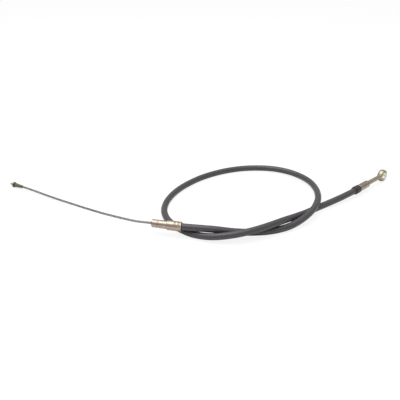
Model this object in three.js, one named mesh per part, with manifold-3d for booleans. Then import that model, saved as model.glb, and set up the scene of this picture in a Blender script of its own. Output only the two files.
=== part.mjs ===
// Brake cable: a stranded wire rope that slides in a spiral-wound, plastic-covered sheath.
// It lies on the plane z = 0 in one loose overhand knot. Millimetres, +Z up.
// +X is the way the lever end is pulled. The origin is on the plane, below the middle of the layout.

import * as THREE from "three";
import { mergeVertices } from "three/addons/utils/BufferGeometryUtils.js";
import Module from "manifold-3d";

// Fits
const FIT = 0.3; // clearance between two pieces that touch
const TRAVEL = 20; // how far the wire slides in the sheath

// Wire and sheath, from the inside out
const WIRE_D = 3;
const LINER_WALL = 0.4;
const WRAP_WALL = 0.55;
const JACKET_WALL = 0.9;

// Drum-end ferrule, lengths from its mouth
const DRUM_NECK_D = 10;
const DRUM_NECK_LENGTH = 19;
const DRUM_BODY_D = 12;
const DRUM_BODY_LENGTH = 18.3;
const DRUM_SOCKET_DEPTH = 17;
const CLIP_GROOVE_D = 8.7;
const CLIP_GROOVE_WIDTH = 1.6;
const CLIP_GROOVE_AT = 7.4;
const CRIMP_DEPTH = 0.45;
const CRIMP_WIDTH = 2;
const CRIMP_PITCH = 4.6;

// Lever-end ferrule and the collar behind it
const LEVER_FERRULE_D = 10.1;
const LEVER_FERRULE_LENGTH = 22.6;
const LEVER_SOCKET_DEPTH = 14;
const COLLAR_D = 11.2;
const COLLAR_LENGTH = 11;
const COLLAR_ROUND = 1.2;

// Wiper seals
const SEAL_WALL = 2;
const SEAL_DEPTH = 4.5;
const SEAL_LIP = 1.3; // how far the drum-end seal's lip stands out of its ferrule
const LEVER_SEAL_LIP = 0.25; // the same at the lever end, where the shank comes close

// Nipple on the drum end of the wire
const NIPPLE_D = 8.2;
const NIPPLE_CONE = 7;
const NIPPLE_RIM = 1.8;
const NIPPLE_TIP_D = 1.2;
const NECK_D = 6.2;
const NECK_LENGTH = 1.2;
const SKIRT_LENGTH = 14;
const SKIRT_LIP = 0.45;
const NIPPLE_SOCKET_DEPTH = 15;

// Eye end on the lever end of the wire
const EYE_D = 17.5;
const EYE_HOLE_D = 10.2;
const EYE_WIDTH = 8.5;
const EYE_FACE_D = 14;
const SHANK_D = 6.4;
const SHANK_WAIST_D = 5.9;
const SHANK_LENGTH = 32.45;
const SHANK_SOCKET_DEPTH = 19;
const SHANK_GAP = 1.55; // between the shank and the lever-end seal
const STAKE_DEPTH = 0.5;
const STAKE_PITCH = 4.4;

// Edges and faces
const EDGE = 0.5; // chamfer on turned edges
const ROUND_SIDES = 24;
const SHEATH_SIDES = 10;
const WIRE_SIDES = 8;
const SHEATH_STEPS = 64;
const WIRE_STEPS = 36;

// Layout: where the two ends lie, and the route between them
const DRUM_MOUTH = new THREE.Vector3(-139.4, -64, 13.7);
const DRUM_HEADING = -56.5; // degrees from +X, into the sheath
const LEVER_MOUTH = new THREE.Vector3(161.5, -178.6, EYE_D / 2);
const STRAIGHT = 6; // straight length of sheath kept outside each fitting

const SHEATH_ROUTE = [
  [-106.8, -111, 13.8], [-93, -125.5, 12.6], [-75, -141, 9], [-55, -154, 5.8],
  [-34, -165.5, 4.4], [-11.5, -174, 5.4], [12, -177, 8.8], [35.5, -174.5, 12.2],
  [58, -165.5, 13.5], [78, -151.5, 12.2], [95, -135, 10], [109, -115.5, 8],
  [117, -93, 6.6], [118, -69.5, 5.7], [111, -46.5, 5.1], [97, -27.5, 4.6],
  [78.5, -12.5, 4.4], [56.5, -2, 4.3], [33.5, 4, 4.3], [9.5, 6.5, 4.3],
  [-14.5, 5, 4.3], [-38, 0.5, 4.3], [-61, -8, 4.3], [-82, -20.5, 4.3],
  [-99, -37, 4.3], [-110, -58, 4.3], [-113.5, -81.5, 4.3], [-110.5, -105.5, 4.5],
  [-101, -127.5, 6.9], [-85, -145, 10.3], [-64.5, -157.5, 12.9], [-41.5, -164.5, 13.8],
  [-17, -167, 12.4], [7, -167, 8.7], [30.5, -167, 5.5], [54.5, -168, 4.4],
  [78, -172, 5.6], [101.5, -176, 7.3],
];

// The bare wire's course: from the end of its straight stretch to the nipple's tip
const WIRE_REACH = 235.7;
const WIRE_COURSE = 104.33; // degrees from +X
// Each point gives its share of the reach, how far it lies to the left, and its height.
const WIRE_ROUTE = [
  [0.186, 4.5, 12.3], [0.287, 2.8, 9.7], [0.388, 0.1, 6.9], [0.491, -2, 4.8],
  [0.593, -2.9, 3.6], [0.695, -3.4, 3.2], [0.796, -3.3, 3.6],
];
const NIPPLE_HEADING = -70.5; // degrees from +X, from the tip to the wire

// Radii that follow from the values above
const WIRE_R = WIRE_D / 2;
const LINER_IN = WIRE_R + FIT;
const LINER_OUT = LINER_IN + LINER_WALL;
const WRAP_IN = LINER_OUT + FIT;
const WRAP_OUT = WRAP_IN + WRAP_WALL;
const JACKET_IN = WRAP_OUT + FIT;
const JACKET_OUT = JACKET_IN + JACKET_WALL;
const SOCKET_R = JACKET_OUT + FIT;
const SEAL_OUT = LINER_IN + SEAL_WALL;
const POCKET_R = SEAL_OUT + FIT;
const POCKET_DEPTH = SEAL_DEPTH + FIT;
const DRUM_LENGTH = DRUM_NECK_LENGTH + DRUM_BODY_LENGTH;

// How deep the wire's two outer stretches reach into their ferrules at rest
const TAIL_PAST_SEAL = 3.5; // the drum-end tail past the seal's pocket
const TAIL_DEPTH = POCKET_DEPTH + TAIL_PAST_SEAL;
const DRUM_CORE_AT = TAIL_DEPTH + TRAVEL + FIT;
const LEVER_TAIL_DEPTH = TAIL_DEPTH + TRAVEL;

const wasm = await Module();
wasm.setup();

const cable = new THREE.Group();

// A unit vector in the layout plane, from a heading in degrees.
function towards(degrees) {
  const angle = THREE.MathUtils.degToRad(degrees);
  return new THREE.Vector3(Math.cos(angle), Math.sin(angle), 0);
}

const DRUM_AXIS = towards(DRUM_HEADING);
const LEVER_AXIS = towards(0);
const NIPPLE_AXIS = towards(NIPPLE_HEADING);

// Points on the three fittings' axes. Depth counts into the ferrule from its mouth.
const inDrum = (depth) => DRUM_MOUTH.clone().addScaledVector(DRUM_AXIS, depth);
const inLever = (depth) => LEVER_MOUTH.clone().addScaledVector(LEVER_AXIS, -depth);

const WIRE_AXIS = towards(WIRE_COURSE);
const WIRE_LEFT = towards(WIRE_COURSE + 90);
const wireStart = inDrum(-TRAVEL - WIRE_R);
function onWireCourse([share, left, height]) {
  const point = wireStart.clone().addScaledVector(WIRE_AXIS, share * WIRE_REACH);
  return point.addScaledVector(WIRE_LEFT, left).setZ(height);
}

const NIPPLE_TIP = onWireCourse([1, 0, NIPPLE_D / 2]);
const inNipple = (depth) => NIPPLE_TIP.clone().addScaledVector(NIPPLE_AXIS, depth);

// A piece of the cable: a named mesh with a material of its own.
function addPiece(name, geometry, colour, roughness, metalness) {
  const material = new THREE.MeshStandardMaterial({ color: colour, roughness, metalness });
  const piece = new THREE.Mesh(geometry, material);
  piece.name = name;
  cable.add(piece);
  return piece;
}

// A turned shape about the X axis, from [x, radius] pairs that start and end on the axis
// or come back to the first pair.
function turned(profile, sides = ROUND_SIDES) {
  const points = profile.map(([x, radius]) => new THREE.Vector2(radius, x));
  return new THREE.LatheGeometry(points, sides).rotateZ(-Math.PI / 2);
}

// Turns a piece that was made along +X to another axis and puts it in its place.
function place(piece, origin, axis) {
  piece.quaternion.setFromUnitVectors(new THREE.Vector3(1, 0, 0), axis);
  piece.position.copy(origin);
}

// A path whose steps fall on the given stations, so that nested tubes bend at the same places.
class StationPath extends THREE.Curve {
  constructor(stations) {
    super();
    this.stations = stations;
  }

  getPoint(t, target = new THREE.Vector3()) {
    const last = this.stations.length - 1;
    const along = THREE.MathUtils.clamp(t, 0, 1) * last;
    const index = Math.min(Math.floor(along), last - 1);
    return target.lerpVectors(this.stations[index], this.stations[index + 1], along - index);
  }

  getPointAt(u, target) {
    return this.getPoint(u, target);
  }

  getTangentAt(u, target = new THREE.Vector3()) {
    const last = this.stations.length - 1;
    const index = Math.round(u * last);
    const before = this.stations[Math.max(index - 1, 0)];
    const after = this.stations[Math.min(index + 1, last)];
    return target.subVectors(after, before).normalize();
  }
}

function ring(radius, sides) {
  return Array.from({ length: sides }, (unused, side) => {
    const angle = (side / sides) * 2 * Math.PI;
    return new THREE.Vector2(radius * Math.cos(angle), radius * Math.sin(angle));
  });
}

// A round bar through the stations, or a tube if it has an inner radius.
function sweep(stations, outer, inner, sides) {
  const section = new THREE.Shape(ring(outer, sides));
  if (inner > 0) {
    section.holes.push(new THREE.Path(ring(inner, sides)));
  }
  return new THREE.ExtrudeGeometry(section, {
    steps: stations.length - 1,
    extrudePath: new StationPath(stations),
  });
}

function toSolid(geometry) {
  const bare = geometry.clone();
  bare.deleteAttribute("normal");
  bare.deleteAttribute("uv");
  const merged = mergeVertices(bare, 1e-4);
  return new wasm.Manifold(
    new wasm.Mesh({
      numProp: 3,
      vertProperties: merged.attributes.position.array,
      triVerts: new Uint32Array(merged.index.array),
    }),
  );
}

function toGeometry(solid) {
  const { vertProperties, triVerts } = solid.getMesh();
  const geometry = new THREE.BufferGeometry();
  geometry.setAttribute("position", new THREE.BufferAttribute(vertProperties, 3));
  geometry.setIndex(new THREE.BufferAttribute(triVerts, 1));
  geometry.computeVertexNormals();
  return geometry;
}

// Sheath: jacket, spiral wrap and liner, one inside the other along one route
const drumStop = DRUM_LENGTH - DRUM_SOCKET_DEPTH + FIT;
const leverStop = LEVER_FERRULE_LENGTH - LEVER_SOCKET_DEPTH + FIT;
const leverBack = LEVER_FERRULE_LENGTH + FIT + COLLAR_LENGTH;

const spine = new THREE.CatmullRomCurve3([
  inDrum(drumStop),
  inDrum(DRUM_LENGTH - STRAIGHT),
  inDrum(DRUM_LENGTH),
  ...SHEATH_ROUTE.map(([x, y, z]) => new THREE.Vector3(x, y, z)),
  inLever(leverBack),
  inLever(leverBack - STRAIGHT),
  inLever(leverStop),
]);
const stations = spine.getSpacedPoints(SHEATH_STEPS);

const jacket = sweep(stations, JACKET_OUT, JACKET_IN, SHEATH_SIDES);
addPiece("sheath_jacket", jacket, 0x3b393d, 0.5, 0);

const wrap = sweep(stations, WRAP_OUT, WRAP_IN, SHEATH_SIDES);
addPiece("conduit_wrap", wrap, 0x8d9094, 0.35, 1);

const linerStations = [
  inDrum(POCKET_DEPTH + FIT),
  ...stations,
  inLever(POCKET_DEPTH + FIT),
];
addPiece("conduit_liner", sweep(linerStations, LINER_OUT, LINER_IN, SHEATH_SIDES), 0xe8e6df, 0.5, 0);

// The stretch of wire that stays inside the bends of the sheath
const stationStep = spine.getLength() / SHEATH_STEPS;
const coreRoute = stations.filter((station, index) => {
  const fromDrumMouth = drumStop + index * stationStep;
  const fromLeverMouth = leverStop + (SHEATH_STEPS - index) * stationStep;
  return fromDrumMouth > DRUM_CORE_AT + WIRE_D && fromLeverMouth > LEVER_TAIL_DEPTH + WIRE_D;
});
const coreStations = [
  inDrum(DRUM_CORE_AT),
  ...coreRoute,
  inLever(LEVER_TAIL_DEPTH + FIT),
];
addPiece("inner_wire", sweep(coreStations, WIRE_R, 0, WIRE_SIDES), 0x9da1a5, 0.4, 1);

// Drum-end ferrule: turned sleeve with a clip groove, a shoulder and two crimp rings
function drumFerrule() {
  const neck = DRUM_NECK_D / 2;
  const body = DRUM_BODY_D / 2;
  const groove = CLIP_GROOVE_D / 2;
  const grooveEnd = CLIP_GROOVE_AT + CLIP_GROOVE_WIDTH;
  const outline = [
    [0, POCKET_R],
    [0, neck - EDGE],
    [EDGE, neck],
    [CLIP_GROOVE_AT, neck],
    [CLIP_GROOVE_AT, groove],
    [grooveEnd, groove],
    [grooveEnd, neck],
    [DRUM_NECK_LENGTH, neck],
    [DRUM_NECK_LENGTH, body - EDGE],
    [DRUM_NECK_LENGTH + EDGE, body],
  ];
  // The crimp rings lie near the end that takes the sheath.
  for (const row of [2, 1]) {
    const middle = DRUM_LENGTH - row * CRIMP_PITCH + CRIMP_WIDTH / 2;
    outline.push([middle - CRIMP_WIDTH / 2, body]);
    outline.push([middle, body - CRIMP_DEPTH]);
    outline.push([middle + CRIMP_WIDTH / 2, body]);
  }
  outline.push([DRUM_LENGTH - EDGE, body]);
  outline.push([DRUM_LENGTH, body - EDGE]);
  outline.push([DRUM_LENGTH, SOCKET_R]);
  outline.push([DRUM_LENGTH - DRUM_SOCKET_DEPTH, SOCKET_R]);
  outline.push([DRUM_LENGTH - DRUM_SOCKET_DEPTH, LINER_OUT + FIT]);
  outline.push([POCKET_DEPTH, LINER_OUT + FIT]);
  outline.push([POCKET_DEPTH, POCKET_R]);
  outline.push([0, POCKET_R]);
  return turned(outline);
}
place(addPiece("drum_end_ferrule", drumFerrule(), 0xa8957a, 0.35, 1), DRUM_MOUTH, DRUM_AXIS);

// Lever-end ferrule: plain sleeve with a long chamfer at its mouth
function leverFerrule() {
  const body = LEVER_FERRULE_D / 2;
  const nose = POCKET_R + EDGE;
  return turned([
    [0, POCKET_R],
    [0, nose],
    [body - nose, body],
    [LEVER_FERRULE_LENGTH - EDGE, body],
    [LEVER_FERRULE_LENGTH, body - EDGE],
    [LEVER_FERRULE_LENGTH, SOCKET_R],
    [LEVER_FERRULE_LENGTH - LEVER_SOCKET_DEPTH, SOCKET_R],
    [LEVER_FERRULE_LENGTH - LEVER_SOCKET_DEPTH, LINER_OUT + FIT],
    [POCKET_DEPTH, LINER_OUT + FIT],
    [POCKET_DEPTH, POCKET_R],
    [0, POCKET_R],
  ]);
}
const intoLever = LEVER_AXIS.clone().negate();
place(addPiece("lever_end_ferrule", leverFerrule(), 0xa89a80, 0.35, 1), LEVER_MOUTH, intoLever);

// Wiper seals: a ring in each ferrule's mouth, with a lip on the wire
function wiperSeal(lip) {
  return turned([
    [-lip, LINER_IN],
    [-lip, LINER_IN + EDGE],
    [0, SEAL_OUT - EDGE],
    [SEAL_DEPTH, SEAL_OUT - EDGE],
    [SEAL_DEPTH, LINER_IN],
    [-lip, LINER_IN],
  ]);
}
place(addPiece("drum_end_seal", wiperSeal(SEAL_LIP), 0x1c1c1e, 0.8, 0), DRUM_MOUTH, DRUM_AXIS);
const leverSeal = addPiece("lever_end_seal", wiperSeal(LEVER_SEAL_LIP), 0x1c1c1e, 0.8, 0);
place(leverSeal, LEVER_MOUTH, intoLever);

// Collar: rubber sleeve on the sheath, behind the lever-end ferrule
function collar() {
  const outer = COLLAR_D / 2;
  return turned([
    [0, SOCKET_R],
    [0, outer - COLLAR_ROUND],
    [COLLAR_ROUND * (1 - Math.SQRT1_2), outer - COLLAR_ROUND * (1 - Math.SQRT1_2)],
    [COLLAR_ROUND, outer],
    [COLLAR_LENGTH - EDGE, outer],
    [COLLAR_LENGTH, outer - EDGE],
    [COLLAR_LENGTH, SOCKET_R],
    [0, SOCKET_R],
  ]);
}
const collarFront = inLever(LEVER_FERRULE_LENGTH + FIT);
place(addPiece("sheath_end_collar", collar(), 0x19191b, 0.7, 0), collarFront, intoLever);

// Nipple: mushroom head with a blunt cone, a straight neck and a tapered skirt, swaged on the wire
const NIPPLE_HEAD = NIPPLE_CONE + NIPPLE_RIM;
const NIPPLE_SKIRT_AT = NIPPLE_HEAD + NECK_LENGTH;
const NIPPLE_LENGTH = NIPPLE_SKIRT_AT + SKIRT_LENGTH;

function nipple() {
  const head = NIPPLE_D / 2;
  const bore = WIRE_R + FIT;
  return turned([
    [0, 0],
    [0, NIPPLE_TIP_D / 2],
    [NIPPLE_CONE - EDGE, head - EDGE],
    [NIPPLE_CONE, head],
    [NIPPLE_HEAD - EDGE, head],
    [NIPPLE_HEAD, head - EDGE],
    [NIPPLE_HEAD, NECK_D / 2],
    [NIPPLE_SKIRT_AT, NECK_D / 2],
    [NIPPLE_LENGTH, bore + SKIRT_LIP],
    [NIPPLE_LENGTH, bore],
    [NIPPLE_LENGTH - NIPPLE_SOCKET_DEPTH, bore],
    [NIPPLE_LENGTH - NIPPLE_SOCKET_DEPTH, 0],
  ]);
}
place(addPiece("end_nipple", nipple(), 0x8b8b86, 0.35, 1), NIPPLE_TIP, NIPPLE_AXIS);

// Drum-end wire: from its tail in the ferrule, straight for its travel, then down to the nipple
const drumWireRoute = new THREE.CatmullRomCurve3([
  inDrum(TAIL_DEPTH),
  inDrum(0),
  inDrum(-TRAVEL / 2),
  wireStart,
  ...WIRE_ROUTE.map(onWireCourse),
  inNipple(NIPPLE_LENGTH + WIRE_D),
  inNipple(NIPPLE_LENGTH),
  inNipple(NIPPLE_LENGTH - NIPPLE_SOCKET_DEPTH + FIT),
]);
const drumWire = sweep(drumWireRoute.getSpacedPoints(WIRE_STEPS), WIRE_R, 0, WIRE_SIDES);
addPiece("drum_end_wire", drumWire, 0x9da1a5, 0.4, 1);

// Eye end: forged ring with barrel-shaped rim on a round shank, swaged on the wire
const SHANK_AT = LEVER_SEAL_LIP + SHANK_GAP; // the shank's back face, outside the ferrule's mouth
const EYE_AT = SHANK_AT + SHANK_LENGTH + EYE_D / 2; // the eye's centre, from the mouth

function eyeRing() {
  const half = EYE_WIDTH / 2;
  const hole = EYE_HOLE_D / 2;
  const profile = [
    [-half, hole + EDGE],
    [-half, EYE_FACE_D / 2],
  ];
  // The rim bulges between the two flat faces as part of an ellipse.
  const rise = (EYE_D - EYE_FACE_D) / 2;
  for (const turn of [45, 90, 135]) {
    const angle = THREE.MathUtils.degToRad(turn);
    profile.push([-half * Math.cos(angle), EYE_FACE_D / 2 + rise * Math.sin(angle)]);
  }
  profile.push([half, EYE_FACE_D / 2]);
  profile.push([half, hole + EDGE]);
  profile.push([half - EDGE, hole]);
  profile.push([-half + EDGE, hole]);
  profile.push([-half, hole + EDGE]);
  // The hole's axis lies level, across the pull.
  return turned(profile).rotateZ(Math.PI / 2);
}

function shank() {
  const wide = SHANK_D / 2;
  const waist = SHANK_WAIST_D / 2;
  const root = EYE_WIDTH / 2;
  const bore = WIRE_R + FIT;
  const intoRing = (EYE_D - EYE_HOLE_D) / 4;
  const start = -EYE_D / 2 - SHANK_LENGTH;
  return turned([
    [start + SHANK_SOCKET_DEPTH, 0],
    [start + SHANK_SOCKET_DEPTH, bore],
    [start, bore],
    [start, wide - EDGE],
    [start + EDGE, wide],
    [start + SHANK_SOCKET_DEPTH, wide],
    [start + SHANK_LENGTH - wide, waist],
    [start + SHANK_LENGTH, root],
    [-EYE_D / 2 + intoRing, root],
    [-EYE_D / 2 + intoRing, 0],
  ]);
}

// One staking mark: a shallow cut across the top or bottom of the shank.
function stake(at, side) {
  const radius = SHANK_WAIST_D / 2;
  const height = side * (SHANK_D / 2 + radius - STAKE_DEPTH);
  return new THREE.CylinderGeometry(radius, radius, SHANK_D, ROUND_SIDES)
    .translate(at, 0, height);
}

function eyeEnd() {
  let solid = toSolid(eyeRing()).add(toSolid(shank()));
  const first = -EYE_D / 2 - SHANK_LENGTH + SHANK_SOCKET_DEPTH / 2;
  for (const at of [first, first + STAKE_PITCH]) {
    for (const side of [-1, 1]) {
      solid = solid.subtract(toSolid(stake(at, side)));
    }
  }
  return toGeometry(solid);
}
place(addPiece("eye_end", eyeEnd(), 0x7f7d72, 0.4, 1), inLever(-EYE_AT), LEVER_AXIS);

// Lever-end wire: straight, from inside the ferrule to the bottom of the shank's socket
const leverWireStations = [
  inLever(LEVER_TAIL_DEPTH),
  inLever(-SHANK_AT - SHANK_SOCKET_DEPTH + FIT),
];
addPiece("lever_end_wire", sweep(leverWireStations, WIRE_R, 0, WIRE_SIDES), 0x9da1a5, 0.4, 1);

export default cable;
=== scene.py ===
# A parking brake cable, lying on a white table in one loose overhand knot.
# A stranded wire rope slides in a spiral-wound sheath. Lengths in this file are metres,
# apart from the outlines of turned pieces, which are millimetres.

import math

import bmesh
import bpy
from mathutils import Matrix, Vector
from mathutils.geometry import interpolate_bezier


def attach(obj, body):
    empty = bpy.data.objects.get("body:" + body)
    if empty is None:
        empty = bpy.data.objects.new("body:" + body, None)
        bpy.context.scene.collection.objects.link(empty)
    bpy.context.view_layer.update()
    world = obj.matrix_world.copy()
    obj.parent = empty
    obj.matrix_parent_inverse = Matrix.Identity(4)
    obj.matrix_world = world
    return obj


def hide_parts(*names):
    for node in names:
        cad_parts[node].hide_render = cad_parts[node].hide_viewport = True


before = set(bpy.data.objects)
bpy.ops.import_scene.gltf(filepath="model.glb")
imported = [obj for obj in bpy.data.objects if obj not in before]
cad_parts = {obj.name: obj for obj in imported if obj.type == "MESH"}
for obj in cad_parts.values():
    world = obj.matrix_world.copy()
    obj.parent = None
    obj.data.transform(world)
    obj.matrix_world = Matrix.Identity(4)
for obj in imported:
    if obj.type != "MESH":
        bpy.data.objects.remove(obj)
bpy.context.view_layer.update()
MM = 0.001

# Camera: in front of the cable and to its left, 0.31 m above the table.
# It looks down at 27 degrees, so that the knot shows as a low ellipse.
heading = math.radians(46.96)
downward = math.radians(27.3)
sight_line = Vector((
    math.cos(downward) * math.cos(heading),
    math.cos(downward) * math.sin(heading),
    -math.sin(downward),
))
camera = bpy.data.objects.new("camera", bpy.data.cameras.new("camera"))
camera.data.sensor_width = 36
camera.data.lens = 43.65
camera.location = (-0.44473, -0.47572, 0.30808)
camera.rotation_mode = "QUATERNION"
camera.rotation_quaternion = sight_line.to_track_quat("-Z", "Y")
camera.data.clip_start = 0.01
bpy.context.scene.collection.objects.link(camera)
bpy.context.scene.camera = camera
bpy.context.scene.view_settings.view_transform = "Standard"

# Sheath: the long black outer cable, stiff and springy, so it lies in wide bends.
# Its ends are held in two steel ferrules, and their mouths are where the wire comes out.
DRUM_MOUTH = Vector((-0.1394, -0.064, 0.0137))
DRUM_AXIS = Vector((math.cos(math.radians(-56.5)), math.sin(math.radians(-56.5)), 0))
LEVER_MOUTH = Vector((0.1615, -0.1786, 0.00875))
LEVER_AXIS = Vector((1, 0, 0))
DRUM_LENGTH = 0.0373
LEVER_LENGTH = 0.0226
SHEATH_ROUTE = [
    (-0.1068, -0.111, 0.0138), (-0.093, -0.1255, 0.0126), (-0.075, -0.141, 0.009),
    (-0.055, -0.154, 0.0058), (-0.034, -0.1655, 0.0044), (-0.0115, -0.174, 0.0054),
    (0.012, -0.177, 0.0088), (0.0355, -0.1745, 0.0122), (0.058, -0.1655, 0.0135),
    (0.078, -0.1515, 0.0122), (0.095, -0.135, 0.01), (0.109, -0.1155, 0.008),
    (0.117, -0.093, 0.0066), (0.118, -0.0695, 0.0057), (0.111, -0.0465, 0.0051),
    (0.097, -0.0275, 0.0046), (0.0785, -0.0125, 0.0044), (0.0565, -0.002, 0.0043),
    (0.0335, 0.004, 0.0043), (0.0095, 0.0065, 0.0043), (-0.0145, 0.005, 0.0043),
    (-0.038, 0.0005, 0.0043), (-0.061, -0.008, 0.0043), (-0.082, -0.0205, 0.0043),
    (-0.099, -0.037, 0.0043), (-0.11, -0.058, 0.0043), (-0.1135, -0.0815, 0.0043),
    (-0.1105, -0.1055, 0.0045), (-0.101, -0.1275, 0.0069), (-0.085, -0.145, 0.0103),
    (-0.0645, -0.1575, 0.0129), (-0.0415, -0.1645, 0.0138), (-0.017, -0.167, 0.0124),
    (0.007, -0.167, 0.0087), (0.0305, -0.167, 0.0055), (0.0545, -0.168, 0.0044),
    (0.078, -0.172, 0.0056), (0.1015, -0.176, 0.0073),
]


def smooth_run(points, step):
    """The smooth line through the points, as points one step apart."""
    points = [Vector(point) for point in points]
    ends = [2 * points[0] - points[1], *points, 2 * points[-1] - points[-2]]
    line = [points[0]]
    for before, start, stop, after in zip(ends, ends[1:], ends[2:], ends[3:]):
        first = math.sqrt((start - before).length)
        middle = math.sqrt((stop - start).length)
        last = math.sqrt((after - stop).length)
        leaving = (start - before) / first - (stop - before) / (first + middle)
        arriving = (after - stop) / last - (after - start) / (middle + last)
        chord = (stop - start) / middle
        out_handle = start + (leaving + chord) * middle / 3
        in_handle = stop - (arriving + chord) * middle / 3
        line += interpolate_bezier(start, out_handle, in_handle, stop, 40)[1:]
    return spaced(line, step)


def spaced(line, step):
    """The same line, with its points one step apart."""
    run = [0.0]
    for before, here in zip(line, line[1:]):
        run.append(run[-1] + (here - before).length)
    count = round(run[-1] / step)
    made, at = [], 0
    for n in range(count + 1):
        wanted = run[-1] * n / count
        while at < len(run) - 2 and run[at + 1] < wanted:
            at += 1
        share = (wanted - run[at]) / (run[at + 1] - run[at])
        made.append(line[at].lerp(line[at + 1], share))
    return made


def frames_along(line):
    """Axes at each point of a line. Z runs along it, and X and Y turn as little as they can."""
    frames = []
    side = Vector((0, 0, 1)).cross(line[1] - line[0])
    for n, here in enumerate(line):
        ahead = (line[min(n + 1, len(line) - 1)] - line[max(n - 1, 0)]).normalized()
        side = (side - ahead * side.dot(ahead)).normalized()
        turn = Matrix((side, ahead.cross(side), ahead)).transposed().to_4x4()
        frames.append(Matrix.Translation(here) @ turn)
    return frames


def sweep(bm, section, frames, homes, step):
    """Draws a closed section along the frames. Its points keep where they lie in the cable,
    as if it were straight, in the attribute "lay": across it in X and Y, along it in Z."""
    lay = bm.verts.layers.float_vector.get("lay")
    lay = lay or bm.verts.layers.float_vector.new("lay")
    rings, sides = len(frames) - 1, len(section)
    backs = [home.inverted() for home in homes]
    grid = bmesh.ops.create_grid(bm, x_segments=rings, y_segments=sides, size=0.5)["verts"]
    for vert in grid:
        n = round((vert.co.x + 0.5) * rings)
        x, y = section[round((vert.co.y + 0.5) * sides) % sides]
        vert.co = frames[n] @ Vector((x, y, 0))
        vert[lay] = backs[n] @ vert.co + Vector((0, 0, n * step))
    bmesh.ops.remove_doubles(bm, verts=grid, dist=1e-7)


def cap_ends(bm):
    """Closes the open ends of solid wires."""
    rims = [edge for edge in bm.edges if edge.is_boundary]
    bmesh.ops.holes_fill(bm, edges=rims, sides=0)


def circle(radius, sides):
    """A round section."""
    turns = [2 * math.pi * n / sides for n in range(sides)]
    return [(radius * math.cos(turn), radius * math.sin(turn)) for turn in turns]


def finished(bm, name, material, body, replaced):
    """Makes a bmesh a piece that rides on a body and stands for a CAD node."""
    bmesh.ops.recalc_face_normals(bm, faces=bm.faces)
    mesh = bpy.data.meshes.new(name)
    bm.to_mesh(mesh)
    bm.free()
    mesh.polygons.foreach_set("use_smooth", [True] * len(mesh.polygons))
    mesh.materials.append(material)
    piece = bpy.data.objects.new(name, mesh)
    bpy.context.scene.collection.objects.link(piece)
    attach(piece, body)
    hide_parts(replaced)
    return piece


def linear(code):
    """A colour in sRGB hex as linear red, green, blue and alpha."""
    parts = [int(code[n:n + 2], 16) / 255 for n in (1, 3, 5)]
    bent = [p / 12.92 if p <= 0.04045 else ((p + 0.055) / 1.055) ** 2.4 for p in parts]
    return (*bent, 1.0)


def add(material, kind, inputs=(), **settings):
    """Adds a node. An input is a value, or a pair of another node and its output."""
    made = material.node_tree.nodes.new(kind)
    for name, value in settings.items():
        setattr(made, name, value)
    for socket, value in dict(inputs).items():
        if isinstance(value, tuple) and isinstance(value[0], bpy.types.Node):
            material.node_tree.links.new(value[0].outputs[value[1]], made.inputs[socket])
        else:
            made.inputs[socket].default_value = value
    return made


def bare_material(name):
    """A material with nothing in it but its output."""
    material = bpy.data.materials.new(name)
    material.use_nodes = True
    material.node_tree.nodes.clear()
    return material


def surface(material, inputs):
    """Gives a material its Principled shader."""
    shader = add(material, "ShaderNodeBsdfPrincipled", inputs)
    add(material, "ShaderNodeOutputMaterial", {"Surface": (shader, "BSDF")})


# Extruded, plasticised PVC. It is satin rather than shiny, with faint die lines along it,
# and soft clouds where it was handled.
pvc = bare_material("extruded_pvc")
pvc_lay = add(pvc, "ShaderNodeAttribute", attribute_name="lay")
# Die lines are 0.5 mm apart and 60 mm long.
pvc_long = add(pvc, "ShaderNodeMapping", {
    "Vector": (pvc_lay, "Vector"), "Scale": (1, 1, 0.008)})
pvc_lines = add(pvc, "ShaderNodeTexNoise", {
    "Vector": (pvc_long, "Vector"), "Scale": 2000, "Detail": 2})
# Clouds are 12 mm across.
pvc_clouds = add(pvc, "ShaderNodeTexNoise", {
    "Vector": (pvc_lay, "Vector"), "Scale": 80, "Detail": 4, "Roughness": 0.6})
pvc_tone = add(pvc, "ShaderNodeMix", {
    "Factor": (pvc_clouds, "Fac"), 6: linear("#2b282b"), 7: linear("#3a373a")},
    data_type="RGBA")
# Scuffs: short scratches along the cable, 0.3 mm wide and a few millimetres long.
pvc_short = add(pvc, "ShaderNodeMapping", {
    "Vector": (pvc_lay, "Vector"), "Scale": (1, 1, 0.12)})
pvc_scratch = add(pvc, "ShaderNodeTexNoise", {
    "Vector": (pvc_short, "Vector"), "Scale": 1600, "Detail": 3})
pvc_scuffed = add(pvc, "ShaderNodeMapRange", {
    "Value": (pvc_scratch, "Fac"), "From Min": 0.66, "From Max": 0.8, "To Max": 0.35})
pvc_colour = add(pvc, "ShaderNodeMix", {
    "Factor": (pvc_scuffed, "Result"), 6: (pvc_tone, 2), 7: linear("#5c595c")},
    data_type="RGBA")
pvc_rough = add(pvc, "ShaderNodeMapRange", {
    "Value": (pvc_clouds, "Fac"), "To Min": 0.36, "To Max": 0.5})
pvc_bump = add(pvc, "ShaderNodeBump", {
    "Height": (pvc_lines, "Fac"), "Strength": 0.25, "Distance": 0.00004})
surface(pvc, {
    "Base Color": (pvc_colour, 2), "Roughness": (pvc_rough, "Result"),
    "Normal": (pvc_bump, "Normal"), "IOR": 1.52})

SHEATH_STEP = 0.0025
# The sheath's end faces stand 0.3 mm short of the bottoms of the two sockets, which are
# 20.3 mm and 8.6 mm inside their mouths.
drum_stop = DRUM_MOUTH + DRUM_AXIS * 0.0206
lever_back = LEVER_MOUTH - LEVER_AXIS * 0.0339
sheath_line = smooth_run([
    drum_stop,
    DRUM_MOUTH + DRUM_AXIS * 0.0313,
    DRUM_MOUTH + DRUM_AXIS * DRUM_LENGTH,
    *SHEATH_ROUTE,
    lever_back,
    lever_back + LEVER_AXIS * 0.006,
    LEVER_MOUTH - LEVER_AXIS * 0.0089,
], SHEATH_STEP)


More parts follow.
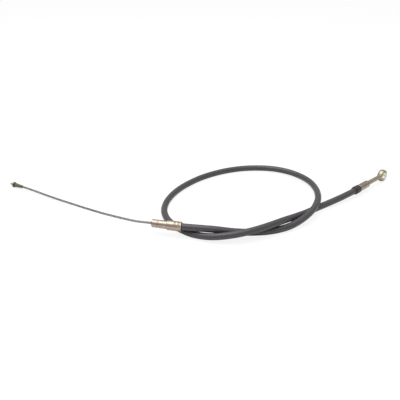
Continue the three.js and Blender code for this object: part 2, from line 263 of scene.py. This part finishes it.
def tube(name, line, step, outer, wall, sides, material, replaced):
    """A hollow tube of the sheath. Solidify gives it its wall, inwards."""
    bm = bmesh.new()
    frames = frames_along(line)
    sweep(bm, circle(outer, sides), frames, frames, step)
    piece = finished(bm, name, material, "sheath", replaced)
    thick = piece.modifiers.new("wall", "SOLIDIFY")
    thick.thickness = wall
    thick.offset = -1
    return piece


jacket = tube("sheath_skin", sheath_line, SHEATH_STEP, 0.00425, 0.0009, 36, pvc,
              "sheath_jacket")

# Spiral wrap: flat steel wire, wound edge to edge round the liner. It takes the push
# of the sheath. Each turn is 3 mm wide and the next begins 3.3 mm further on.
rolled = bare_material("rolled_spring_steel")
rolled_lay = add(rolled, "ShaderNodeAttribute", attribute_name="lay")
rolled_grain = add(rolled, "ShaderNodeTexNoise", {
    "Vector": (rolled_lay, "Vector"), "Scale": 900, "Detail": 3})
rolled_tone = add(rolled, "ShaderNodeMapRange", {
    "Value": (rolled_grain, "Fac"), "To Min": 0.3, "To Max": 0.5})
surface(rolled, {
    "Base Color": linear("#8b8e91"), "Metallic": 1.0, "Roughness": (rolled_tone, "Result")})

WRAP_PITCH = 0.0033
WRAP_STEP = 0.0003
wrap_line = spaced(sheath_line, WRAP_STEP)
wrap_homes = frames_along(wrap_line)
wrap_frames = []
lean = Matrix.Rotation(-math.pi / 2, 4, "X")
wrap_out = Matrix.Translation((0.002775, 0, 0))
for n, home in enumerate(wrap_homes):
    turn = Matrix.Rotation(2 * math.pi * n * WRAP_STEP / WRAP_PITCH, 4, "Z")
    wrap_frames.append(home @ turn @ wrap_out @ lean)
bm = bmesh.new()
half_wide = 0.0015
half_thick = 0.000275
strip = [
    (-half_thick, -half_wide), (half_thick, -half_wide),
    (half_thick, half_wide), (-half_thick, half_wide),
]
sweep(bm, strip, wrap_frames, wrap_homes, WRAP_STEP)
cap_ends(bm)
wrap = finished(bm, "flat_wire_wrap", rolled, "sheath", "conduit_wrap")
wrap.data.set_sharp_from_angle(angle=math.radians(40))

# Liner: the slippery polymer tube in which the rope runs. It passes through both ferrules.
ptfe = bare_material("extruded_ptfe")
ptfe_lay = add(ptfe, "ShaderNodeAttribute", attribute_name="lay")
ptfe_clouds = add(ptfe, "ShaderNodeTexNoise", {
    "Vector": (ptfe_lay, "Vector"), "Scale": 200, "Detail": 2})
ptfe_rough = add(ptfe, "ShaderNodeMapRange", {
    "Value": (ptfe_clouds, "Fac"), "To Min": 0.25, "To Max": 0.4})
surface(ptfe, {
    "Base Color": linear("#e6e3da"), "Roughness": (ptfe_rough, "Result"),
    "Subsurface Weight": 0.1, "Subsurface Scale": 0.001})
liner_line = spaced([
    DRUM_MOUTH + DRUM_AXIS * 0.0051, *sheath_line, LEVER_MOUTH - LEVER_AXIS * 0.0051,
], SHEATH_STEP)
tube("liner_tube", liner_line, SHEATH_STEP, 0.0022, 0.0004, 20, ptfe,
     "conduit_liner")

# Wire rope: six strands of seven galvanised wires, laid round a core strand.
# It is 3 mm thick. A strand goes once round the rope in 19 mm, and a wire once round its
# strand in 7 mm.
galvanised = bare_material("galvanised_drawn_wire")
wire_lay = add(galvanised, "ShaderNodeAttribute", attribute_name="lay")
wire_across = add(galvanised, "ShaderNodeVectorMath", {
    0: (wire_lay, "Vector"), 1: (1, 1, 0)}, operation="MULTIPLY")
wire_radius = add(galvanised, "ShaderNodeVectorMath", {
    0: (wire_across, "Vector")}, operation="LENGTH")
# Between the strands the colour is painted near-black and not metallic: painted shade in the
# valleys. The crowns show the bare zinc.
wire_valley_shade_mask = add(galvanised, "ShaderNodeMapRange", {
    "Value": (wire_radius, "Value"), "From Min": 0.00115, "From Max": 0.00145})
wire_spangle = add(galvanised, "ShaderNodeTexNoise", {
    "Vector": (wire_lay, "Vector"), "Scale": 700, "Detail": 3})
wire_zinc = add(galvanised, "ShaderNodeMix", {
    "Factor": (wire_spangle, "Fac"), 6: linear("#888985"), 7: linear("#aeafaa")},
    data_type="RGBA")
wire_colour = add(galvanised, "ShaderNodeMix", {
    "Factor": (wire_valley_shade_mask, "Result"), 6: linear("#24231f"), 7: (wire_zinc, 2)},
    data_type="RGBA")
wire_rough = add(galvanised, "ShaderNodeMapRange", {
    "Value": (wire_valley_shade_mask, "Result"), "To Min": 0.6, "To Max": 0.34})
surface(galvanised, {
    "Base Color": (wire_colour, 2), "Metallic": (wire_valley_shade_mask, "Result"),
    "Roughness": (wire_rough, "Result")})

ROPE_LAY = 0.019
WIRE_LAY = 0.007
STRAND_AT = 0.001
STRAND_R = 0.0005


def strand_section(points_per_wire):
    """Six round wires side by side round a seventh, as one outline."""
    wire = STRAND_R / 3
    middle = 2 * wire
    section = []
    for n in range(6 * points_per_wire):
        turn = math.pi / 3 * n / points_per_wire
        off = (turn + math.pi / 6) % (math.pi / 3) - math.pi / 6
        reach = wire * wire - (middle * math.sin(off)) ** 2
        radius = middle * math.cos(off) + math.sqrt(max(reach, 0))
        section.append((radius * math.cos(turn), radius * math.sin(turn)))
    return section


def rope(name, line, step, section, body, replaced):
    """A length of the wire rope: a plain core, and six strands that wind round it."""
    homes = frames_along(spaced(line, step))
    bm = bmesh.new()
    sweep(bm, circle(STRAND_R * 1.05, 8), homes, homes, step)
    climb = math.atan2(2 * math.pi * STRAND_AT, ROPE_LAY)
    for strand in range(6):
        frames = []
        for n, home in enumerate(homes):
            wind = 2 * math.pi * (strand / 6 + n * step / ROPE_LAY)
            roll = -2 * math.pi * n * step / WIRE_LAY
            frames.append(
                home @ Matrix.Rotation(wind, 4, "Z")
                @ Matrix.Translation((STRAND_AT, 0, 0))
                @ Matrix.Rotation(-climb, 4, "X")
                @ Matrix.Rotation(roll, 4, "Z")
            )
        sweep(bm, section, frames, homes, step)
    cap_ends(bm)
    return finished(bm, name, galvanised, body, replaced)


core_line = [
    DRUM_MOUTH + DRUM_AXIS * 0.0286,
    *[point for n, point in enumerate(sheath_line) if 4 < n < len(sheath_line) - 10],
    LEVER_MOUTH - LEVER_AXIS * 0.0286,
]
rope("rope_in_sheath", core_line, 0.0012, circle(STRAND_R, 6), "sheath", "inner_wire")

# Drum-end ferrule: a sleeve turned from free-cutting steel bar, plated with yellow zinc.
# Its neck goes through the brake's backing plate, a spring clip holds it by the groove,
# and eight jaws crimp its wide end on the sheath in two rows.
yellow_zinc = bare_material("yellow_chromated_zinc")
zinc_lay = add(yellow_zinc, "ShaderNodeAttribute", attribute_name="lay")
zinc_clouds = add(yellow_zinc, "ShaderNodeTexNoise", {
    "Vector": (zinc_lay, "Vector"), "Scale": 220, "Detail": 4, "Roughness": 0.6})
zinc_tone = add(yellow_zinc, "ShaderNodeMix", {
    "Factor": (zinc_clouds, "Fac"), 6: linear("#ab9d90"), 7: linear("#7f7267")},
    data_type="RGBA")
# Turning marks run round the sleeve, 0.25 mm apart.
zinc_round = add(yellow_zinc, "ShaderNodeMapping", {
    "Vector": (zinc_lay, "Vector"), "Scale": (1, 0.01, 0.01)})
zinc_marks = add(yellow_zinc, "ShaderNodeTexNoise", {
    "Vector": (zinc_round, "Vector"), "Scale": 4000, "Detail": 1})
zinc_rough = add(yellow_zinc, "ShaderNodeMapRange", {
    "Value": (zinc_clouds, "Fac"), "To Min": 0.24, "To Max": 0.42})
zinc_bump = add(yellow_zinc, "ShaderNodeBump", {
    "Height": (zinc_marks, "Fac"), "Strength": 0.3, "Distance": 0.00003})
surface(yellow_zinc, {
    "Base Color": (zinc_tone, 2), "Metallic": 1.0, "Roughness": (zinc_rough, "Result"),
    "Normal": (zinc_bump, "Normal")})


def turned(outline, sides=72, closed=True, soften=0.12):
    """A turned shape round X, from an outline of [along, radius] in millimetres.
    Its sharp rims are softened."""
    bm = bmesh.new()
    corners = [bm.verts.new((x * MM, 0, r * MM)) for x, r in outline]
    pairs = list(zip(corners, corners[1:]))
    if closed:
        pairs.append((corners[-1], corners[0]))
    lines = [bm.edges.new(pair) for pair in pairs]
    bmesh.ops.spin(bm, geom=corners + lines, axis=(1, 0, 0), cent=(0, 0, 0),
                   angle=2 * math.pi, steps=sides, use_merge=True)
    bmesh.ops.remove_doubles(bm, verts=bm.verts, dist=1e-6)
    bmesh.ops.recalc_face_normals(bm, faces=bm.faces)
    rims = [
        edge for edge in bm.edges
        if edge.is_manifold and edge.calc_face_angle() > math.radians(22)
    ]
    bmesh.ops.bevel(bm, geom=rims, offset=soften * MM, offset_type="OFFSET", segments=2,
                    profile=0.5, affect="EDGES", material=-1, clamp_overlap=True)
    return bm


def put(bm, origin, axis):
    """Notes the shape's own coordinates, and lays it with its X along the axis."""
    lay = bm.verts.layers.float_vector.new("lay")
    for vert in bm.verts:
        vert[lay] = vert.co
    level = Vector((0, 0, 1)).cross(axis)
    turn = Matrix((axis, level, axis.cross(level))).transposed().to_4x4()
    bmesh.ops.transform(bm, matrix=Matrix.Translation(origin) @ turn, verts=bm.verts)


def sharp_rims(piece):
    """Keeps flat faces flat beside softened rims."""
    weighted = piece.modifiers.new("even", "WEIGHTED_NORMAL")
    weighted.keep_sharp = True


JAWS = 8
CRIMP_ROWS = (29.1, 33.7)
CRIMP_DEPTH = 0.45
CRIMP_REACH = 1.15
body_lines = [[19.9 + 0.6 * n, 6] for n in range(29)]
bm = turned([
    [0, 4.1], [0, 4.5], [0.5, 5], [7.4, 5], [7.4, 4.35], [9, 4.35], [9, 5],
    [19, 5], [19, 5.5], [19.5, 6], *body_lines, [36.8, 6], [37.3, 5.5],
    [37.3, 4.55], [20.3, 4.55], [20.3, 2.5], [4.8, 2.5], [4.8, 4.1],
])
bmesh.ops.subdivide_edges(bm, edges=[
    edge for edge in bm.edges
    if all(27.5 * MM < vert.co.x < 35.5 * MM and vert.co.yz.length > 5.8 * MM
           for vert in edge.verts)
    and abs(edge.verts[0].co.x - edge.verts[1].co.x) > 0.3 * MM
], cuts=1)
for vert in bm.verts:
    radius = vert.co.yz.length
    row = min(CRIMP_ROWS, key=lambda middle: abs(vert.co.x / MM - middle))
    off = abs(vert.co.x / MM - row) / CRIMP_REACH
    if radius > 5.8 * MM and off < 1:
        # The metal stands up a little between two jaws.
        turn = math.atan2(vert.co.z, vert.co.y) * JAWS / 2
        ridge = 0.35 * math.exp(-((math.cos(turn) / 0.3) ** 2))
        sunk = CRIMP_DEPTH * MM * (1 - off * off) * (1 - ridge)
        vert.co.yz *= (radius - sunk) / radius
put(bm, DRUM_MOUTH, DRUM_AXIS)
drum_sleeve = finished(bm, "shouldered_sleeve", yellow_zinc, "sheath",
                       "drum_end_ferrule")
sharp_rims(drum_sleeve)

# Wiper seal in its mouth: moulded nitrile rubber, whose lip rubs the rope clean.
nitrile = bare_material("moulded_nitrile_rubber")
nitrile_lay = add(nitrile, "ShaderNodeAttribute", attribute_name="lay")
nitrile_grain = add(nitrile, "ShaderNodeTexNoise", {
    "Vector": (nitrile_lay, "Vector"), "Scale": 1500, "Detail": 3})
nitrile_clouds = add(nitrile, "ShaderNodeTexNoise", {
    "Vector": (nitrile_lay, "Vector"), "Scale": 180, "Detail": 3})
nitrile_tone = add(nitrile, "ShaderNodeMix", {
    "Factor": (nitrile_clouds, "Fac"), 6: linear("#161618"), 7: linear("#2a292b")},
    data_type="RGBA")
nitrile_rough = add(nitrile, "ShaderNodeMapRange", {
    "Value": (nitrile_clouds, "Fac"), "To Min": 0.45, "To Max": 0.65})
nitrile_bump = add(nitrile, "ShaderNodeBump", {
    "Height": (nitrile_grain, "Fac"), "Strength": 0.2, "Distance": 0.00003})
surface(nitrile, {
    "Base Color": (nitrile_tone, 2), "Roughness": (nitrile_rough, "Result"),
    "Normal": (nitrile_bump, "Normal"), "IOR": 1.52})


def wiper(name, lip, origin, axis, replaced):
    """A wiper seal with a lip that stands out of the mouth by so many millimetres."""
    bm = turned([
        [-lip, 1.8], [-lip, 2.3], [0, 3.3], [4.5, 3.3], [4.5, 1.8],
    ], sides=48, soften=0.1)
    put(bm, origin, axis)
    sharp_rims(finished(bm, name, nitrile, "sheath", replaced))
    return bpy.data.objects[name]


wiper("drum_wiper", 1.3, DRUM_MOUTH, DRUM_AXIS, "drum_end_seal")

# Lever-end ferrule: a plain drawn sleeve of the same plated steel, chamfered at its mouth.
bm = turned([
    [0, 4.1], [0, 4.6], [0.45, 5.05], [22.1, 5.05], [22.6, 4.55], [8.6, 4.55],
    [8.6, 2.5], [4.8, 2.5], [4.8, 4.1],
])
put(bm, LEVER_MOUTH, -LEVER_AXIS)
lever_sleeve = finished(bm, "plain_sleeve", yellow_zinc, "sheath",
                        "lever_end_ferrule")
sharp_rims(lever_sleeve)
lever_wiper = wiper("lever_wiper", 0.25, LEVER_MOUTH, -LEVER_AXIS, "lever_end_seal")

# Collar: a rubber sleeve pushed over the sheath, up against the ferrule, to keep water out.
bm = turned([
    [0, 4.55], [0, 4.7], [0.35, 5.25], [1.2, 5.6], [10.5, 5.6], [11, 5.1], [11, 4.55],
], soften=0.3)
put(bm, LEVER_MOUTH - LEVER_AXIS * (LEVER_LENGTH + 0.0003), -LEVER_AXIS)
collar = finished(bm, "rubber_collar", nitrile, "sheath",
                  "sheath_end_collar")
sharp_rims(collar)

# The bare rope at the drum end leaves its ferrule straight, for as far as it slides,
# and sags to the table. The rope's own spring holds it in one slow curve.
NIPPLE_TIP = Vector((-0.209604, 0.182295, 0.0041))
NIPPLE_AXIS = Vector((math.cos(math.radians(-70.5)), math.sin(math.radians(-70.5)), 0))
NIPPLE_LENGTH = 0.024
ROPE_STEP = 0.00055
drum_rope_line = smooth_run([
    DRUM_MOUTH + DRUM_AXIS * 0.0083,
    DRUM_MOUTH,
    DRUM_MOUTH - DRUM_AXIS * 0.01,
    DRUM_MOUTH - DRUM_AXIS * 0.0215,
    (-0.1665, -0.0048, 0.0123), (-0.1707, 0.0188, 0.0097), (-0.174, 0.0425, 0.0069),
    (-0.178, 0.0665, 0.0048), (-0.183, 0.09, 0.0036), (-0.1885, 0.1135, 0.0032),
    (-0.1945, 0.1365, 0.0036),
    NIPPLE_TIP + NIPPLE_AXIS * (NIPPLE_LENGTH + 0.003),
    NIPPLE_TIP + NIPPLE_AXIS * NIPPLE_LENGTH,
    NIPPLE_TIP + NIPPLE_AXIS * 0.0093,
], ROPE_STEP)
drum_rope = rope("rope_to_nipple", drum_rope_line, ROPE_STEP, strand_section(4),
                 "drum_end", "drum_end_wire")

# Nipple: a mushroom-headed button of plated steel, swaged on the rope. Its 8.2 mm head is
# rubbed bright, a painted shadow darkens the neck under the head's rim, and the tapered skirt
# has gone olive.
bright_zinc = bare_material("clear_zinc_plated_steel")
bright_lay = add(bright_zinc, "ShaderNodeAttribute", attribute_name="lay")
bright_clouds = add(bright_zinc, "ShaderNodeTexNoise", {
    "Vector": (bright_lay, "Vector"), "Scale": 300, "Detail": 4, "Roughness": 0.65})
bright_along = add(bright_zinc, "ShaderNodeSeparateXYZ", {"Vector": (bright_lay, "Vector")})
bright_past_head = add(bright_zinc, "ShaderNodeMapRange", {
    "Value": (bright_along, "X"), "From Min": 0.0085, "From Max": 0.0089})
# Just past the head the neck is painted near-black: a painted shadow under the head's rim,
# fading into the olive skirt.
bright_neck_shadow_fade = add(bright_zinc, "ShaderNodeMapRange", {
    "Value": (bright_along, "X"), "From Min": 0.0096, "From Max": 0.0115})
bright_head = add(bright_zinc, "ShaderNodeMix", {
    "Factor": (bright_clouds, "Fac"), 6: linear("#b9b8b0"), 7: linear("#92918a")},
    data_type="RGBA")
bright_skirt_and_neck_shadow = add(bright_zinc, "ShaderNodeMix", {
    "Factor": (bright_neck_shadow_fade, "Result"), 6: linear("#2a2923"), 7: linear("#605f4d")},
    data_type="RGBA")
bright_tone = add(bright_zinc, "ShaderNodeMix", {
    "Factor": (bright_past_head, "Result"), 6: (bright_head, 2), 7: (bright_skirt_and_neck_shadow, 2)},
    data_type="RGBA")
bright_rough = add(bright_zinc, "ShaderNodeMapRange", {
    "Value": (bright_clouds, "Fac"), "To Min": 0.3, "To Max": 0.5})
bright_bump = add(bright_zinc, "ShaderNodeBump", {
    "Height": (bright_clouds, "Fac"), "Strength": 0.3, "Distance": 0.00005})
surface(bright_zinc, {
    "Base Color": (bright_tone, 2), "Metallic": 1.0, "Roughness": (bright_rough, "Result"),
    "Normal": (bright_bump, "Normal")})
bm = turned([
    [0, 0], [0, 0.6], [6.5, 3.6], [7, 4.1], [8.3, 4.1], [8.8, 3.6], [8.8, 3.1],
    [10, 3.1], [24, 2], [24, 1.8], [9, 1.8], [9, 0],
], closed=False)
put(bm, NIPPLE_TIP, NIPPLE_AXIS)
nipple = finished(bm, "mushroom_nipple", bright_zinc, "drum_end",
                  "end_nipple")
sharp_rims(nipple)

# Eye end: a forged ring eye on a round shank, which is staked on the rope twice.
# The forging has no sharp corner where the shank swells into the ring.
forged = bare_material("forged_zinc_plated_steel")
forged_place = add(forged, "ShaderNodeTexCoord")
forged_clouds = add(forged, "ShaderNodeTexNoise", {
    "Vector": (forged_place, "Object"), "Scale": 260, "Detail": 5, "Roughness": 0.65})
forged_tone = add(forged, "ShaderNodeMix", {
    "Factor": (forged_clouds, "Fac"), 6: linear("#b3a795"), 7: linear("#7c7565")},
    data_type="RGBA")
# The bore is painted near-white out to 5.3 mm from its middle: a painted highlight for its lit
# inner wall.
forged_off = add(forged, "ShaderNodeVectorMath", {
    0: (forged_place, "Object"), 1: (0.2045, 0, 0.00875)}, operation="SUBTRACT")
forged_across = add(forged, "ShaderNodeVectorMath", {
    0: (forged_off, "Vector"), 1: (1, 0, 1)}, operation="MULTIPLY")
forged_radius = add(forged, "ShaderNodeVectorMath", {
    0: (forged_across, "Vector")}, operation="LENGTH")
forged_past_bore_highlight = add(forged, "ShaderNodeMapRange", {
    "Value": (forged_radius, "Value"), "From Min": 0.0053, "From Max": 0.0057})
forged_colour = add(forged, "ShaderNodeMix", {
    "Factor": (forged_past_bore_highlight, "Result"), 6: linear("#e6e7dc"), 7: (forged_tone, 2)},
    data_type="RGBA")
forged_rough = add(forged, "ShaderNodeMapRange", {
    "Value": (forged_clouds, "Fac"), "To Min": 0.32, "To Max": 0.55})
forged_bump = add(forged, "ShaderNodeBump", {
    "Height": (forged_clouds, "Fac"), "Strength": 0.4, "Distance": 0.00008})
surface(forged, {
    "Base Color": (forged_colour, 2), "Metallic": 1.0, "Roughness": (forged_rough, "Result"),
    "Normal": (forged_bump, "Normal")})

EYE_AT = 0.043
SHANK_START = -41.2
rim = [
    [-4.25 * math.cos(math.radians(turn)), 7 + 1.75 * math.sin(math.radians(turn))]
    for turn in range(15, 180, 15)
]
bm = turned([
    [-4.25, 5.6], [-4.25, 7], *rim, [4.25, 7], [4.25, 5.6], [3.75, 5.1], [-3.75, 5.1],
], sides=96)
bmesh.ops.rotate(bm, matrix=Matrix.Rotation(math.pi / 2, 3, "Z"), verts=bm.verts)
shank = turned([
    [SHANK_START + 19, 0], [SHANK_START + 19, 1.8], [SHANK_START, 1.8],
    [SHANK_START, 2.7], [SHANK_START + 0.5, 3.2], [SHANK_START + 19, 3.2],
    [SHANK_START + 29.25, 2.95], [SHANK_START + 32.45, 3.5], [-6.925, 3.5], [-6.925, 0],
], closed=False)
shank_mesh = bpy.data.meshes.new("shank_part")
shank.to_mesh(shank_mesh)
shank.free()
bm.from_mesh(shank_mesh)
bpy.data.meshes.remove(shank_mesh)
bmesh.ops.transform(bm, matrix=Matrix.Translation(LEVER_MOUTH + LEVER_AXIS * EYE_AT),
                    verts=bm.verts)
eye = finished(bm, "forged_eye", forged, "lever_end", "eye_end")
fused = eye.modifiers.new("fused", "REMESH")
fused.mode = "VOXEL"
fused.voxel_size = 0.0003
fused.use_smooth_shade = True
eased = eye.modifiers.new("eased", "SMOOTH")
eased.factor = 0.5
eased.iterations = 6
bpy.context.view_layer.update()
forging = bpy.data.meshes.new_from_object(
    eye.evaluated_get(bpy.context.evaluated_depsgraph_get()))
eye.modifiers.clear()
eye.data = forging
# The two stakes are shallow troughs across the shank's top and bottom, 4.4 mm apart.
STAKE_R = 2.95
for vert in forging.vertices:
    local = (vert.co - LEVER_MOUTH - LEVER_AXIS * EYE_AT) / MM
    for middle in (SHANK_START + 9.5, SHANK_START + 13.9):
        off = abs(local.x - middle)
        if off < STAKE_R and local.yz.length > 2.2:
            floor = 3.2 + STAKE_R - 0.5 - math.sqrt(STAKE_R ** 2 - off ** 2)
            if abs(local.z) > floor:
                local.z = math.copysign(floor, local.z)
    vert.co = local * MM + LEVER_MOUTH + LEVER_AXIS * EYE_AT

lever_rope_line = [
    LEVER_MOUTH - LEVER_AXIS * 0.0283, LEVER_MOUTH + LEVER_AXIS * 0.0205,
]
lever_rope = rope("rope_to_eye", lever_rope_line, ROPE_STEP, strand_section(4),
                  "lever_end", "lever_end_wire")

# Table: a white sweep, which the camera sees as plain white with a soft shadow.
white = bare_material("white_table")
white_seen = add(white, "ShaderNodeLightPath")
white_matte = add(white, "ShaderNodeBsdfDiffuse", {"Color": linear("#f2f2f2")})
white_glow = add(white, "ShaderNodeEmission", {"Color": (1, 1, 1, 1), "Strength": 1.0})
white_part = add(white, "ShaderNodeMath", {0: (white_seen, "Is Camera Ray"), 1: 0.85},
                 operation="MULTIPLY")
white_both = add(white, "ShaderNodeMixShader", {
    0: (white_part, "Value"), 1: (white_matte, "BSDF"), 2: (white_glow, "Emission")})
add(white, "ShaderNodeOutputMaterial", {"Surface": (white_both, "Shader")})
bm = bmesh.new()
bmesh.ops.create_grid(bm, x_segments=1, y_segments=1, size=12)
table_mesh = bpy.data.meshes.new("table")
bm.to_mesh(table_mesh)
bm.free()
table_mesh.materials.append(white)
table = bpy.data.objects.new("table", table_mesh)
bpy.context.scene.collection.objects.link(table)

# Light: one wide soft box above, and the white room round it.
lamp_data = bpy.data.lights.new("soft_box", "AREA")
lamp_data.shape = "DISK"
lamp_data.size = 1.6
lamp_data.energy = 22
lamp = bpy.data.objects.new("soft_box", lamp_data)
lamp.location = (-0.3, 0.25, 1.5)
lamp.rotation_mode = "QUATERNION"
lamp.rotation_quaternion = (-lamp.location).to_track_quat("-Z", "Y")
bpy.context.scene.collection.objects.link(lamp)
# The room is bright overhead and dim at the level of the eye. The camera sees it white.
room = bpy.data.worlds.new("white_room")
room.use_nodes = True
bpy.context.scene.world = room
backing = room.node_tree.nodes["Background"]
seen = add(room, "ShaderNodeLightPath")
room_way = add(room, "ShaderNodeTexCoord")
room_up = add(room, "ShaderNodeSeparateXYZ", {"Vector": (room_way, "Generated")})
room_level = add(room, "ShaderNodeMapRange", {
    "Value": (room_up, "Z"), "From Min": 0.1, "From Max": 0.7,
    "To Min": 0.3, "To Max": 1.1})
room_shown = add(room, "ShaderNodeMix", {
    "Factor": (seen, "Is Camera Ray"), "A": (room_level, "Result"), "B": 1.0})
room.node_tree.links.new(room_shown.outputs["Result"], backing.inputs["Strength"])
backing.inputs["Color"].default_value = (1, 1, 1, 1)
